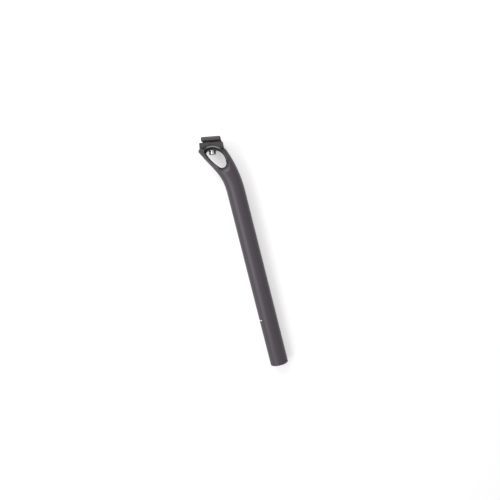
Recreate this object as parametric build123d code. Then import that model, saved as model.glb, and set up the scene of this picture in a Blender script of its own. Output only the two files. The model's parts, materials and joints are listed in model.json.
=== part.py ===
from build123d import *
from math import copysign, cos, pi, radians, sin, sqrt, tan
import os

# Bicycle seatpost: one hollow moulded post whose head sweeps back into an open eye,
# and a single-bolt saddle clamp that rocks on the round seat over that eye.
# Millimetres. +Z runs up the tube's axis, +X is forward and +Y is to the left.
# The origin is the centre of the tube's lower end.

# Tube
tube_diameter = 27.2
tube_wall = 2.3
end_chamfer = 0.5
bore_chamfer = 0.5
bore_roof = 18.5
bore_taper = 12.0
bore_tip_radius = 5.0

# Tilt axis of the saddle: the head is drawn round it
tilt_axis_setback = 22.2
tilt_axis_height = 322.4

# Side outline of the head: both edges leave the tube on an arc, the rear one then runs straight
rear_bend_radius = 72.0
rear_lean = 28.95
rear_reach = 6.9
front_bend_drop = 52.4
front_strut_thickness = 9.2
round_margin = 6.0
head_width = 30.0
head_squareness = 2.5
widening_height = 45.0
section_rises = (-48.4, -38.4, -27.4, -14.4, -0.4, 14.6, 29.6)
section_points = 16

# Clamp seat: a round seat across the head, sunk between two shoulders
seat_radius = 22.0
shoulder_rise = 4.5
shoulder_base = 12.0
shoulder_rounding = 1.5
seat_rear_angle = 33.0
seat_front_angle = 56.0

# Eye: the window through the head under the seat
arch_thickness = 3.4
rear_strut_thickness = 5.9
rear_strut_curve = 60.0
rear_strut_waist = 0.8
eye_corner_radius = 3.0
eye_base_radius = 6.5
eye_rim_radius = 2.2

# Flare that opens the eye's base out to both sides: reach from the head's side, share, trim
flare_growth = 4.5
flare_forward = 2.1
flare_drop = 4.5
flare_steps = ((-9.0, 0.0, 1.0), (-5.0, 0.12, 0.0), (-2.0, 0.55, 0.0), (1.0, 1.7, 0.0))

# Saddle clamp, set nose-down from square with the tube as the saddle needs it
clamp_tilt = 10.0
tilt_back = 5.5
tilt_forward = 18.5
rail_diameter = 7.0
rail_spacing = 44.0
rail_wall = 1.5
rail_inner_wall = 2.5
lower_length = 34.2
lower_height = 8.8
lower_thickness = 3.1
lower_end_rounding = 1.2
seat_end_margin = 0.5
upper_length = 28.4
upper_height = 6.0
upper_web = 3.6
upper_end_rounding = 2.0
clamp_gap = 2.6
rail_rise = 2.0
boss_wall = 1.5
lead_in = 0.7
rolled_edge = 3.0
soft_edge = 0.6

# Bolt, nut and half-moon washer
bolt_diameter = 6.0
bolt_head_diameter = 10.0
bolt_head_height = 6.0
bolt_head_chamfer = 0.6
bolt_end_chamfer = 0.6
bolt_end_below_top = 0.6
hex_key = 5.0
hex_depth = 3.0
washer_height = 2.0
washer_length = 15.0
washer_width = 15.0
nut_flange_diameter = 14.0
nut_flange_thickness = 2.2
nut_barrel_diameter = 9.5
nut_height = 5.0
nut_flat_depth = 1.0

# Clearances
seat_clearance = 0.2
shoulder_clearance = 0.3
side_clearance = 0.4
bolt_hole_clearance = 0.2
slot_clearance = 0.3
nut_clearance = 0.08
thread_clearance = 0.05

tube_radius = tube_diameter / 2
rail_radius = rail_diameter / 2
bolt_radius = bolt_diameter / 2
eye_radius = seat_radius - arch_thickness

# Heights in the clamp, measured along the bolt from the tilt axis
lower_top = seat_radius + seat_clearance + lower_thickness
lower_bottom = lower_top - lower_height
rail_height = lower_top + rail_rise
upper_bottom = lower_top + clamp_gap
upper_top = upper_bottom + upper_height
washer_base = eye_radius - seat_clearance - washer_height
clamp_half_width = rail_spacing / 2 + rail_radius + rail_wall
web_half_width = rail_spacing / 2 - rail_radius - rail_inner_wall
through = 2 * clamp_half_width

# Rear bend: where the leaning line behind the tilt axis meets the tube's rear
lean_slope = tan(radians(rear_lean))
lean_back = rear_reach / cos(radians(rear_lean))
rear_meeting = tilt_axis_height - (tilt_axis_setback + lean_back - tube_radius) / lean_slope
rear_bend_height = rear_meeting - rear_bend_radius * tan(radians(rear_lean / 2))

# Front bend: an arc from the tube through the front strut's face beside the tilt axis
front_bend_height = tilt_axis_height - front_bend_drop
front_back = tube_radius + tilt_axis_setback - eye_radius - front_strut_thickness
front_bend_radius = (front_bend_drop**2 + front_back**2) / (2 * front_back)
straight_length = min(rear_bend_height, front_bend_height) - round_margin


def rear_edge(height):
    """X of the rear outline at a height on the post."""
    rise = height - rear_bend_height
    bend_rise = rear_bend_radius * sin(radians(rear_lean))
    if rise <= 0:
        return -tube_radius
    if rise <= bend_rise:
        return -tube_radius - rear_bend_radius + sqrt(rear_bend_radius**2 - rise**2)
    return -tube_radius - (height - rear_meeting) * lean_slope


def front_edge(height):
    """X of the front outline at a height on the post."""
    rise = max(height - front_bend_height, 0.0)
    return tube_radius - front_bend_radius + sqrt(front_bend_radius**2 - rise**2)


def post_section(height):
    """Cross-section of the post: round on the tube, wider and squarer towards the head."""
    if height <= straight_length:
        return Pos(0, 0, height) * Circle(tube_radius)
    rear = rear_edge(height)
    front = front_edge(height)
    share = min(max((height - rear_bend_height) / widening_height, 0.0), 1.0)
    blend = share * share * (3 - 2 * share)
    half_width = tube_radius + (head_width / 2 - tube_radius) * blend
    power = 2 / (2 + (head_squareness - 2) * blend)
    outline = []
    for step in range(section_points):
        turn = 2 * pi * step / section_points
        along = copysign(abs(cos(turn))**power, cos(turn))
        across = copysign(abs(sin(turn))**power, sin(turn))
        outline.append(((rear + front) / 2 + (front - rear) / 2 * along, half_width * across))
    return Pos(0, 0, height) * make_face(Spline(*outline, periodic=True))


def across(sketch, half_width):
    """Solid of a side-view sketch, run across the post to both sides."""
    return extrude(Plane.XZ * sketch, amount=half_width, both=True)


def at_axis(sketch):
    """A side-view sketch centred on the tilt axis."""
    return Pos(-tilt_axis_setback, tilt_axis_height) * sketch


def wedge(rear_angle, front_angle, reach):
    """Side-view sector about the tilt axis, between two angles from straight up."""
    rim = []
    for share in (0.0, 0.25, 0.5, 0.75, 1.0):
        turn = radians(-rear_angle + (rear_angle + front_angle) * share)
        rim.append((reach * sin(turn), reach * cos(turn)))
    return make_face(Polyline((0, 0), *rim, close=True))


def circle_crossing(centre_a, radius_a, centre_b, radius_b):
    """The upper left crossing of two circles."""
    gap = (centre_b - centre_a).length
    along = (gap**2 + radius_a**2 - radius_b**2) / (2 * gap)
    aside = sqrt(radius_a**2 - along**2)
    line = (centre_b - centre_a).normalized()
    return centre_a + line * along + Vector(-line.Y, line.X) * aside


def eye_sketch():
    """Side-view teardrop: round under the seat and in front, drawn down to a small round base."""
    axis = Vector(-tilt_axis_setback, tilt_axis_height)
    lean = radians(rear_lean)
    inward = Vector(cos(lean), sin(lean))
    waist_height = tilt_axis_height - rear_strut_waist
    waist = Vector(rear_edge(waist_height), waist_height)
    strut_centre = waist + inward * (rear_strut_thickness + rear_strut_curve)
    corner = circle_crossing(axis, eye_radius - eye_corner_radius,
                             strut_centre, rear_strut_curve - eye_corner_radius)
    front_x = axis.X + eye_radius
    base_x = front_x - eye_base_radius
    base_reach = rear_strut_curve - eye_base_radius
    base = Vector(base_x, strut_centre.Y - sqrt(base_reach**2 - (strut_centre.X - base_x)**2))
    corner_top = corner + (corner - axis).normalized() * eye_corner_radius
    corner_side = corner + (corner - strut_centre).normalized() * eye_corner_radius
    base_side = base + (base - strut_centre).normalized() * eye_base_radius
    edges = [
        three_points(axis, eye_radius, corner_top, Vector(front_x, axis.Y)),
        Line(Vector(front_x, axis.Y), Vector(front_x, base.Y)),
        three_points(base, eye_base_radius, Vector(front_x, base.Y), base_side),
        three_points(strut_centre, rear_strut_curve, base_side, corner_side),
        three_points(corner, eye_corner_radius, corner_side, corner_top),
    ]
    return make_face(edges), base


def three_points(centre, radius, start, end):
    """The short arc about a centre from start to end."""
    middle = ((start - centre) + (end - centre)).normalized() * radius + centre
    return ThreePointArc(start, middle, end)


def near_eye(edge):
    """Whether an edge lies on the eye's outline at the side of the head."""
    reach = 0.0
    for share in (0.1, 0.5, 0.9):
        point = edge @ share
        offset = Vector(point.X + tilt_axis_setback, point.Z - tilt_axis_height)
        reach = max(reach, offset.length)
    return abs(edge.center().Y) > head_width / 4 and reach < eye_radius + 0.3


def on_crown(edge):
    """Whether an edge bounds the round top of a shoulder."""
    if edge.length < 2 * shoulder_rounding:
        return False
    for share in (0.05, 0.5, 0.95):
        point = edge @ share
        offset = Vector(point.X + tilt_axis_setback, point.Z - tilt_axis_height)
        if abs(offset.length - seat_radius - shoulder_rise) > 0.05:
            return False
    return True


def flare(side, base):
    """Dished mouth that opens the eye's base out to one side of the head."""
    rings = []
    for reach, share, trim in flare_steps:
        aside = side * (head_width / 2 + reach)
        plane = Plane(origin=(0, aside, 0), x_dir=(1, 0, 0), z_dir=(0, -1, 0))
        centre = Pos(base.X + flare_forward * share, base.Y - flare_drop * share)
        rings.append(plane * centre * Circle(eye_base_radius + flare_growth * share - trim))
    return loft(rings)


def post():
    """The one-piece post: round tube, laid-back head, seat, eye, bolt slot and bore."""
    tube = extrude(Circle(tube_radius), amount=straight_length)
    tube = chamfer(tube.edges().sort_by(Axis.Z)[0], end_chamfer)
    section_heights = [straight_length] + [tilt_axis_height + rise for rise in section_rises]
    body = tube + loft([post_section(height) for height in section_heights])

    # Top of the head: two shoulders round the tilt axis, with the seat sunk between them
    top = tilt_axis_height + shoulder_base
    above = Pos(-tilt_axis_setback, top + through) * Rectangle(4 * through, 2 * through)
    body -= across(above - at_axis(Circle(seat_radius + shoulder_rise)), through)
    seat = wedge(seat_rear_angle, seat_front_angle, 2 * through) - Circle(seat_radius)
    body -= across(at_axis(seat), through)

    # Eye, with a rounded rim and its base flared out to both sides
    eye, base = eye_sketch()
    body -= across(eye, through)
    body = fillet(body.edges().filter_by(near_eye), eye_rim_radius)
    body = fillet(body.edges().filter_by(on_crown), shoulder_rounding)
    for side in (-1, 1):
        body -= flare(side, base)

    # Bolt slot through the arch, long enough for the whole tilt
    mid_tilt = clamp_tilt + (tilt_forward - tilt_back) / 2
    half_tilt = radians((tilt_forward + tilt_back) / 2)
    slot_half = seat_radius * sin(half_tilt) + bolt_radius / cos(half_tilt) + slot_clearance
    slot_width = bolt_diameter + 2 * slot_clearance
    slot = extrude(SlotOverall(2 * slot_half, slot_width), amount=through)
    below_arch = Pos(0, 0, eye_radius - arch_thickness)
    body -= Pos(-tilt_axis_setback, 0, tilt_axis_height) * Rot(0, mid_tilt, 0) * below_arch * slot

    # Bore, drawn in to a narrow end below the eye
    bore_radius = tube_radius - tube_wall
    bore_end_height = base.Y - eye_base_radius - bore_roof
    bore = extrude(Circle(bore_radius), amount=bore_end_height - bore_taper)
    bore += Pos(0, 0, bore_end_height - bore_taper / 2) * Cone(bore_radius, bore_tip_radius, bore_taper)
    mouth_radius = bore_radius + bore_chamfer
    bore += Pos(0, 0, bore_chamfer / 2) * Cone(mouth_radius, bore_radius, bore_chamfer)
    return body - bore


def in_clamp(shape):
    """A clamp piece drawn about the tilt axis with its bolt upright, set to the clamp's tilt."""
    return Pos(-tilt_axis_setback, 0, tilt_axis_height) * Rot(0, clamp_tilt, 0) * shape


def plate(length, bottom, top, rolled, end_rounding):
    """Clamp block: long outer edges rolled over, top ends rounded, the other edges broken."""
    block = Pos(0, 0, (bottom + top) / 2) * Box(length, 2 * clamp_half_width, top - bottom)
    block = fillet(block.edges().filter_by(Axis.X).group_by(Axis.Z)[rolled], rolled_edge)
    block = fillet(block.edges().filter_by(Axis.Y).group_by(Axis.Z)[-1], end_rounding)
    bottom_ends = block.edges().filter_by(Axis.Y).group_by(Axis.Z)[0]
    square_sides = block.edges().filter_by(Axis.X).group_by(Axis.Z)[-1 - rolled]
    return chamfer(bottom_ends + square_sides, soft_edge)


def rail_groove(side, length, radius):
    """Cutter for one saddle rail's groove."""
    return Pos(0, side * rail_spacing / 2, rail_height) * Rot(0, 90, 0) * Cylinder(radius, length)


def lower_cradle():
    """Lower rail clamp: rail grooves on top, a concave face underneath that rocks on the seat."""
    block = plate(lower_length, lower_bottom, lower_top, 0, lower_end_rounding)
    block -= across(Circle(seat_radius + seat_clearance), through)
    seat_block_angle = seat_front_angle - clamp_tilt - tilt_forward - seat_end_margin
    over_head = Circle(seat_radius + shoulder_rise + shoulder_clearance)
    over_head -= wedge(seat_block_angle, seat_block_angle, through)
    block -= across(over_head, head_width / 2 + side_clearance)
    for side in (-1, 1):
        block -= rail_groove(side, 2 * through, rail_radius)
        mouth = rail_groove(side, 2 * through, rail_radius + lead_in)
        block -= mouth - Box(upper_length, 4 * through, 2 * through)
    return block - Pos(0, 0, lower_top) * Cylinder(bolt_radius + bolt_hole_clearance, through)


def nut_solid(clearance):
    """Flanged nut with one flat on its flange, grown by a clearance when it is a pocket."""
    flange_radius = nut_flange_diameter / 2
    beyond_flat = Pos(flange_radius - nut_flat_depth + clearance + through, 0)
    flange = Circle(flange_radius + clearance) - beyond_flat * Rectangle(2 * through, 2 * through)
    flange = Pos(0, 0, upper_top - nut_flange_thickness) * extrude(flange, amount=nut_flange_thickness)
    barrel = extrude(Circle(nut_barrel_diameter / 2 + clearance), amount=nut_height)
    return flange + Pos(0, 0, upper_top - nut_height) * barrel


def upper_cradle():
    """Upper rail clamp: the other half of the rail grooves, joined by a thin web with a boss."""
    block = plate(upper_length, upper_bottom, upper_top, -1, upper_end_rounding)
    web_bottom = upper_top - upper_web
    hollow = Pos(0, 0, web_bottom - through / 2) * Box(2 * through, 2 * web_half_width, through)
    boss_radius = nut_flange_diameter / 2 + boss_wall
    block -= hollow - Pos(0, 0, upper_bottom) * Cylinder(boss_radius, through)
    for side in (-1, 1):
        block -= rail_groove(side, 2 * through, rail_radius)
    block -= nut_solid(nut_clearance)
    bolt_hole = Pos(0, 0, upper_bottom) * Cylinder(nut_barrel_diameter / 2 + nut_clearance, nut_height)
    return block - bolt_hole


def clamp_bolt():
    """Socket-cap bolt, pushed up from inside the eye."""
    head_radius = bolt_head_diameter / 2
    head = extrude(Circle(head_radius), amount=bolt_head_height)
    head = chamfer(head.edges().sort_by(Axis.Z)[0], bolt_head_chamfer)
    head -= extrude(RegularPolygon(hex_key / 2, 6, major_radius=False), amount=hex_depth)
    length = upper_top - bolt_end_below_top - washer_base
    shank = extrude(Circle(bolt_radius), amount=length)
    shank = chamfer(shank.edges().sort_by(Axis.Z)[-1], bolt_end_chamfer)
    return Pos(0, 0, washer_base - bolt_head_height) * head + Pos(0, 0, washer_base) * shank


def rocker_washer():
    """Half-moon washer that rocks against the underside of the arch with the clamp."""
    moon = Circle(eye_radius - seat_clearance) & Pos(0, washer_base + through / 2) * Rectangle(
        washer_length, through)
    body = across(moon, washer_width / 2)
    return body - Pos(0, 0, washer_base) * Cylinder(bolt_radius + bolt_hole_clearance, through)


def clamp_nut():
    """Flanged nut that sits in the top of the upper cradle and takes the bolt."""
    bore_radius = bolt_radius + thread_clearance
    return nut_solid(0) - Pos(0, 0, upper_top) * Cylinder(bore_radius, through)


os.makedirs("parts", exist_ok=True)
export_step(post(), "parts/post.step")
for piece in (lower_cradle, upper_cradle, clamp_bolt, rocker_washer, clamp_nut):
    export_step(in_clamp(piece()), "parts/" + piece.__name__ + ".step")
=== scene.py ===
import json
from math import cos, radians, sin

import bpy
from mathutils import Matrix, Vector


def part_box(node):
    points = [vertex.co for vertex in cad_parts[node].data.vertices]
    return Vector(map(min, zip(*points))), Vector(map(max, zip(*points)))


# Bicycle seatpost on a white table, seen as in the photograph.
# Metres, in the CAD frame: +Z runs up the tube, +X is forward, the camera looks along +Y.

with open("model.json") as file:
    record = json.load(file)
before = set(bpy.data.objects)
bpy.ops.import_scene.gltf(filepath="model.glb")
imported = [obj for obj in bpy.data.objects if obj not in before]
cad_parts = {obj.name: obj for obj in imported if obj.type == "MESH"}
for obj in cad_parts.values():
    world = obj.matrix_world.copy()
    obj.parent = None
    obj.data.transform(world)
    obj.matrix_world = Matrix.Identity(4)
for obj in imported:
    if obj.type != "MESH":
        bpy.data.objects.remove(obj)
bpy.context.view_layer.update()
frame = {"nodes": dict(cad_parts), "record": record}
nodes = frame["nodes"]

# Places read from the CAD frame
post_low, post_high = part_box("post")
clamp_low, clamp_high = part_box("lower_cradle")
tube_radius = post_high.x
tilt_joint = frame["record"]["behaviour"]["joints"][0]
tilt_axis = Vector(tilt_joint["pos_m"])

# Camera: raised a little over the middle of the post, and rolled so that the post leans
camera_aim = Vector((-0.0013, 0, 0.1806))
camera_distance = 0.7582
camera_rise = radians(4.185)
camera_roll = radians(-14.21)
lens_mm = 36
sensor_mm = 36

# Surface grain: the share of fine grain in it, the rest being broad patches, and the stretch of
# its range over which the gloss changes
fine_share = 0.6
gloss_starts = 0.3
gloss_full = 0.7

# Printed line that marks the least insertion
line_height = 0.073
line_width = 0.0009
line_half_turn = radians(43)
line_colour = (0.85, 0.85, 0.85, 1)

# Painted shade on the eye's wall: how squarely a face looks in at the tilt axis, from 0 to 1, where
# the painted shade starts and where it is full, and how much sooner both come at the rear, later in
# front
wall_starts = 0.25
wall_full = 0.65
wall_lap = 0.3
wall_shade_colour = (0.008, 0.007, 0.008, 1)
wall_roughness = 0.9

# Painted highlight on the arch's rim over the eye: its reach from the tilt axis and its soft edge,
# its turn to the front and its spread, and how squarely a face looks sideways where it starts and is
# full
rim_inner = 0.0202
rim_outer = 0.0224
rim_fade = 0.0006
rim_turn = radians(15)
rim_half_spread = radians(34)
rim_full_spread = radians(20)
rim_side_starts = 0.4
rim_side_full = 0.8
rim_highlight_colour = (0.34, 0.335, 0.35, 1)

# Key light: a tall soft box, level with its aim and turned to the post's rear
key_watts = 10.4
key_wide = 0.8
key_tall = 1.0
key_distance = 1.2
key_turn = radians(42)
key_aim = Vector((0, 0, 0.18))

# Top light: a wide soft box over the camera, which picks out the edges that look up
top_watts = 14
top_wide = 1.0
top_tall = 0.9
top_distance = 1.3
top_turn = radians(14)
top_rise = radians(48)

# Even light from all sides
fill_strength = 0.6
white = (1, 1, 1, 1)

# Table: half its size, the colour that takes shadows, and the strength of the white of its own
table_half = 1.5
table_paper = (0.55, 0.55, 0.55, 1)
table_glow = 0.41


def fill_inputs(tree, node, inputs):
    """Links each input, named or numbered, to an output, or sets its plain value."""
    for key, value in inputs.items():
        if isinstance(value, bpy.types.NodeSocket):
            tree.links.new(value, node.inputs[key])
        else:
            node.inputs[key].default_value = value


def add_node(tree, kind, inputs, **settings):
    """A new shader node with its settings and its inputs; gives its outputs."""
    node = tree.nodes.new(kind)
    for name, value in settings.items():
        setattr(node, name, value)
    fill_inputs(tree, node, inputs)
    return node.outputs


def math_node(tree, operation, *values):
    """A Math node's result; each value is a socket or a number."""
    inputs = dict(enumerate(values))
    return add_node(tree, "ShaderNodeMath", inputs, operation=operation)["Value"]


def vector_math(tree, operation, *values):
    """A Vector Math node's result; each value is a socket or three numbers."""
    inputs = dict(enumerate(values))
    result = "Value" if operation in ("DOT_PRODUCT", "LENGTH") else "Vector"
    return add_node(tree, "ShaderNodeVectorMath", inputs, operation=operation)[result]


def mix(tree, mask, below, above, kind):
    """Mixes from one value to another by a mask, as a colour or a number."""
    inputs = {"Factor": mask, "A": below, "B": above}
    return add_node(tree, "ShaderNodeMix", inputs, data_type=kind)["Result"]


def ramp(tree, value, start, end):
    """0 below the start, 1 past the end and even between them; the start may be the larger."""
    inputs = {"Value": value, "From Min": start, "From Max": end}
    return add_node(tree, "ShaderNodeMapRange", inputs)["Result"]


def noise(tree, place, scale, detail):
    """A Noise Texture's value at a place."""
    inputs = {"Vector": place, "Scale": scale, "Detail": detail}
    return add_node(tree, "ShaderNodeTexNoise", inputs)["Fac"]


def grain_group():
    """Fine mottled grain of moulded, blasted and turned surfaces, shared by every finish."""
    group = bpy.data.node_groups.new("surface_grain", "ShaderNodeTree")
    for name, side, kind in (
        ("Vector", "INPUT", "NodeSocketVector"),
        ("Dark", "INPUT", "NodeSocketColor"),
        ("Light", "INPUT", "NodeSocketColor"),
        ("Grains per metre", "INPUT", "NodeSocketFloat"),
        ("Patches per metre", "INPUT", "NodeSocketFloat"),
        ("Smoothest", "INPUT", "NodeSocketFloat"),
        ("Roughest", "INPUT", "NodeSocketFloat"),
        ("Colour", "OUTPUT", "NodeSocketColor"),
        ("Roughness", "OUTPUT", "NodeSocketFloat"),
        ("Height", "OUTPUT", "NodeSocketFloat"),
    ):
        group.interface.new_socket(name=name, in_out=side, socket_type=kind)
    given = add_node(group, "NodeGroupInput", {})
    fine = noise(group, given["Vector"], given["Grains per metre"], detail=3)
    broad = noise(group, given["Vector"], given["Patches per metre"], detail=2)
    patches = math_node(group, "MULTIPLY", broad, 1 - fine_share)
    grain = math_node(group, "MULTIPLY_ADD", fine, fine_share, patches)
    gloss = ramp(group, grain, gloss_starts, gloss_full)
    add_node(group, "NodeGroupOutput", {
        "Colour": mix(group, grain, given["Dark"], given["Light"], "RGBA"),
        "Roughness": mix(group, gloss, given["Smoothest"], given["Roughest"], "FLOAT"),
        "Height": fine,
    })
    return group


surface_grain = grain_group()


def new_finish(name):
    """A material with its shader and its texture coordinates."""
    material = bpy.data.materials.new(name)
    material.use_nodes = True
    tree = material.node_tree
    return material, tree, tree.nodes["Principled BSDF"], add_node(tree, "ShaderNodeTexCoord", {})


def add_grain(tree, place, scale, dark, light, grains, patches, smoothest, roughest):
    """The shared grain on Object coordinates, stretched by scale."""
    mapping = add_node(tree, "ShaderNodeMapping", {"Vector": place["Object"], "Scale": scale})
    inputs = {
        "Vector": mapping["Vector"],
        "Dark": (*dark, 1),
        "Light": (*light, 1),
        "Grains per metre": grains,
        "Patches per metre": patches,
        "Smoothest": smoothest,
        "Roughest": roughest,
    }
    return add_node(tree, "ShaderNodeGroup", inputs, node_tree=surface_grain)


def bump(tree, height, strength, distance):
    """The normal of a bump from a height."""
    inputs = {"Height": height, "Strength": strength, "Distance": distance}
    return add_node(tree, "ShaderNodeBump", inputs)["Normal"]


def insertion_line(tree, place):
    """Mask of the printed line: a short band round the rear of the tube."""
    along = add_node(tree, "ShaderNodeSeparateXYZ", {"Vector": place["Object"]})
    height = math_node(tree, "SUBTRACT", along["Z"], line_height)
    in_band = math_node(tree, "LESS_THAN", math_node(tree, "ABSOLUTE", height), line_width / 2)
    behind = math_node(tree, "LESS_THAN", along["X"], -tube_radius * cos(line_half_turn))
    return math_node(tree, "MULTIPLY", in_band, behind)


def from_tilt_axis(tree, place):
    """Side view of a point from the tilt axis: its distance, and the direction out to it."""
    offset = vector_math(tree, "SUBTRACT", place["Object"], tilt_axis)
    flat = vector_math(tree, "MULTIPLY", offset, (1, 0, 1))
    return vector_math(tree, "LENGTH", flat), vector_math(tree, "NORMALIZE", flat)


def painted_wall_shade(tree, place, outward):
    """Mask of the painted shade on the eye's wall: the faces that look in at the tilt axis."""
    facing = vector_math(tree, "DOT_PRODUCT", place["Normal"], outward)
    forward = vector_math(tree, "DOT_PRODUCT", outward, (wall_lap, 0, 0))
    return ramp(tree, math_node(tree, "ADD", facing, forward), -wall_starts, -wall_full)


def painted_rim_highlight(tree, place, distance, outward):
    """Mask of the painted highlight on the arch's rim: a short arc on both sides of the head, under
    the clamp.
    """
    along = vector_math(tree, "DOT_PRODUCT", outward, (sin(rim_turn), 0, cos(rim_turn)))
    sideways = vector_math(tree, "DOT_PRODUCT", place["Normal"], (0, 1, 0))
    mask = ramp(tree, along, cos(rim_half_spread), cos(rim_full_spread))
    for part in (
        ramp(tree, distance, rim_inner - rim_fade, rim_inner),
        ramp(tree, distance, rim_outer + rim_fade, rim_outer),
        ramp(tree, math_node(tree, "ABSOLUTE", sideways), rim_side_starts, rim_side_full),
    ):
        mask = math_node(tree, "MULTIPLY", mask, part)
    return mask


def carbon_finish():
    """Matt lacquered carbon: painted shade on the eye's wall, a painted highlight on its rim, a
    printed line.
    """
    material, tree, shader, place = new_finish("matt_carbon")
    grain = add_grain(
        tree, place, scale=(1, 1, 0.06), dark=(0.036, 0.028, 0.034), light=(0.052, 0.042, 0.049),
        grains=2400, patches=45, smoothest=0.37, roughest=0.45)
    distance, outward = from_tilt_axis(tree, place)
    wall = painted_wall_shade(tree, place, outward)
    # Painted shade: the faces of the eye's wall turn near black, and rough.
    colour = mix(tree, wall, grain["Colour"], wall_shade_colour, "RGBA")
    # Painted highlight: a light arc on the arch's rim, on both sides of the head.
    colour = mix(tree, painted_rim_highlight(tree, place, distance, outward), colour, rim_highlight_colour, "RGBA")
    colour = mix(tree, insertion_line(tree, place), colour, line_colour, "RGBA")
    fill_inputs(tree, shader, {
        "Base Color": colour,
        "Roughness": mix(tree, wall, grain["Roughness"], wall_roughness, "FLOAT"),
        "Normal": bump(tree, grain["Height"], strength=0.15, distance=0.00002),
        "Specular IOR Level": 0.34,
        "Specular Tint": (0.88, 0.96, 1, 1),
    })
    return material


def metal_finish(name, dark, light, grains, smoothest, roughest, metallic, strength):
    """A blasted, anodised or bare metal finish, with a bump of the given strength."""
    material, tree, shader, place = new_finish(name)
    grain = add_grain(
        tree, place, scale=(1, 1, 1), dark=dark, light=light,
        grains=grains, patches=90, smoothest=smoothest, roughest=roughest)
    fill_inputs(tree, shader, {
        "Base Color": grain["Colour"],
        "Roughness": grain["Roughness"],
        "Normal": bump(tree, grain["Height"], strength, distance=0.00003),
        "Metallic": metallic,
    })
    return material


def dress(node, material):
    """Gives a CAD node its finish."""
    nodes[node].data.materials.clear()
    nodes[node].data.materials.append(material)


def dress_nodes():
    """Every CAD node's finish."""
    dress("post", carbon_finish())
    blasted = {"grains": 2600, "smoothest": 0.42, "roughest": 0.55, "metallic": 0.2, "strength": 0.5}
    dress("lower_cradle", metal_finish(
        "lower_clamp", dark=(0.013, 0.011, 0.012), light=(0.028, 0.025, 0.026), **blasted))
    dress("upper_cradle", metal_finish(
        "upper_clamp", dark=(0.026, 0.022, 0.022), light=(0.046, 0.041, 0.041), **blasted))
    dress("clamp_nut", metal_finish(
        "nut_metal", dark=(0.05, 0.047, 0.048), light=(0.08, 0.075, 0.076),
        grains=3200, smoothest=0.35, roughest=0.5, metallic=0.4, strength=0.3))
    dress("rocker_washer", metal_finish(
        "washer_metal", dark=(0.04, 0.038, 0.04), light=(0.06, 0.057, 0.06),
        grains=3200, smoothest=0.4, roughest=0.5, metallic=0.4, strength=0.3))
    dress("clamp_bolt", metal_finish(
        "bolt_steel", dark=(0.55, 0.55, 0.54), light=(0.68, 0.67, 0.66),
        grains=3500, smoothest=0.25, roughest=0.36, metallic=1, strength=0.2))


def point_at(thing, aim, distance, turn, rise, roll):
    """Sets a lamp or the camera off from its aim, turned to the post's rear, raised and rolled."""
    bpy.context.scene.collection.objects.link(thing)
    out = Vector((-sin(turn) * cos(rise), -cos(turn) * cos(rise), sin(rise)))
    facing = out.to_track_quat("Z", "Y").to_matrix().to_4x4() @ Matrix.Rotation(roll, 4, "Z")
    thing.matrix_world = Matrix.Translation(aim + out * distance) @ facing


def place_camera():
    """Camera at the photograph's viewing angle."""
    data = bpy.data.cameras.new("camera")
    data.lens = lens_mm
    data.sensor_width = sensor_mm
    camera = bpy.data.objects.new("camera", data)
    point_at(camera, camera_aim, camera_distance, turn=0, rise=camera_rise, roll=camera_roll)
    bpy.context.scene.camera = camera


def add_soft_box(name, aim, turn, rise, distance, wide, tall, watts):
    """A rectangular lamp on the camera's side of the post."""
    data = bpy.data.lights.new(name, "AREA")
    data.shape = "RECTANGLE"
    data.size = wide
    data.size_y = tall
    data.energy = watts
    point_at(bpy.data.objects.new(name, data), aim, distance, turn, rise, roll=0)


def sees_white(tree):
    """1 for the rays that look at the background: from the camera, in gloss or through glass."""
    path = add_node(tree, "ShaderNodeLightPath", {})
    seen = math_node(tree, "MAXIMUM", path["Is Camera Ray"], path["Is Glossy Ray"])
    return math_node(tree, "MAXIMUM", seen, path["Is Transmission Ray"])


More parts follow.
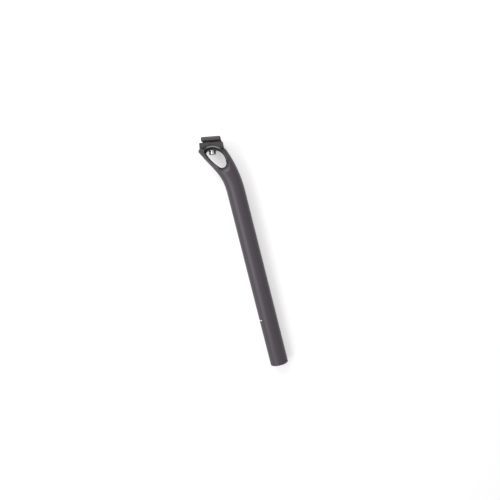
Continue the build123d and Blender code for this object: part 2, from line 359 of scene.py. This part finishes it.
def table_finish():
    """White table, seen only from its front; part of its white is its own, which thins the shadow."""
    material = bpy.data.materials.new("white_table")
    material.use_nodes = True
    material.cycles.emission_sampling = "NONE"
    tree = material.node_tree
    tree.nodes.clear()
    paper = add_node(tree, "ShaderNodeBsdfDiffuse", {"Color": table_paper})
    glow = add_node(tree, "ShaderNodeEmission", {"Color": white, "Strength": table_glow})
    surface = add_node(tree, "ShaderNodeAddShader", {0: paper["BSDF"], 1: glow["Emission"]})
    clear = add_node(tree, "ShaderNodeBsdfTransparent", {"Color": white})
    side = add_node(tree, "ShaderNodeNewGeometry", {})
    front = math_node(tree, "SUBTRACT", 1, side["Backfacing"])
    seen = math_node(tree, "MULTIPLY", sees_white(tree), front)
    shown = add_node(tree, "ShaderNodeMixShader", {0: seen, 1: clear["BSDF"], 2: surface["Shader"]})
    add_node(tree, "ShaderNodeOutputMaterial", {"Surface": shown["Shader"]})
    return material


def add_table():
    """Table behind the lying post: it touches the clamp's side and the tube's lower end."""
    slope = (clamp_high.y - tube_radius) / (clamp_low.z - post_low.z)
    corners = []
    for x, up in ((-1, -1), (1, -1), (1, 1), (-1, 1)):
        z = post_high.z / 2 + up * table_half
        corners.append((x * table_half, tube_radius + slope * z, z))
    mesh = bpy.data.meshes.new("table")
    mesh.from_pydata(corners, [], [(0, 1, 2, 3)])
    table = bpy.data.objects.new("table", mesh)
    bpy.context.scene.collection.objects.link(table)
    mesh.materials.append(table_finish())


def add_world():
    """Even white world: the fill light, and plain white where it is looked at."""
    world = bpy.data.worlds.new("studio")
    bpy.context.scene.world = world
    world.use_nodes = True
    tree = world.node_tree
    tree.nodes.clear()
    room = add_node(tree, "ShaderNodeBackground", {"Color": white, "Strength": fill_strength})
    plain = add_node(tree, "ShaderNodeBackground", {"Color": white, "Strength": 1})
    inputs = {0: sees_white(tree), 1: room["Background"], 2: plain["Background"]}
    shown = add_node(tree, "ShaderNodeMixShader", inputs)
    add_node(tree, "ShaderNodeOutputWorld", {"Surface": shown["Shader"]})


dress_nodes()
place_camera()
add_table()
add_soft_box("key", key_aim, key_turn, 0, key_distance, key_wide, key_tall, key_watts)
add_soft_box("top", tilt_axis, top_turn, top_rise, top_distance, top_wide, top_tall, top_watts)
add_world()
bpy.context.scene.view_settings.view_transform = "Standard"
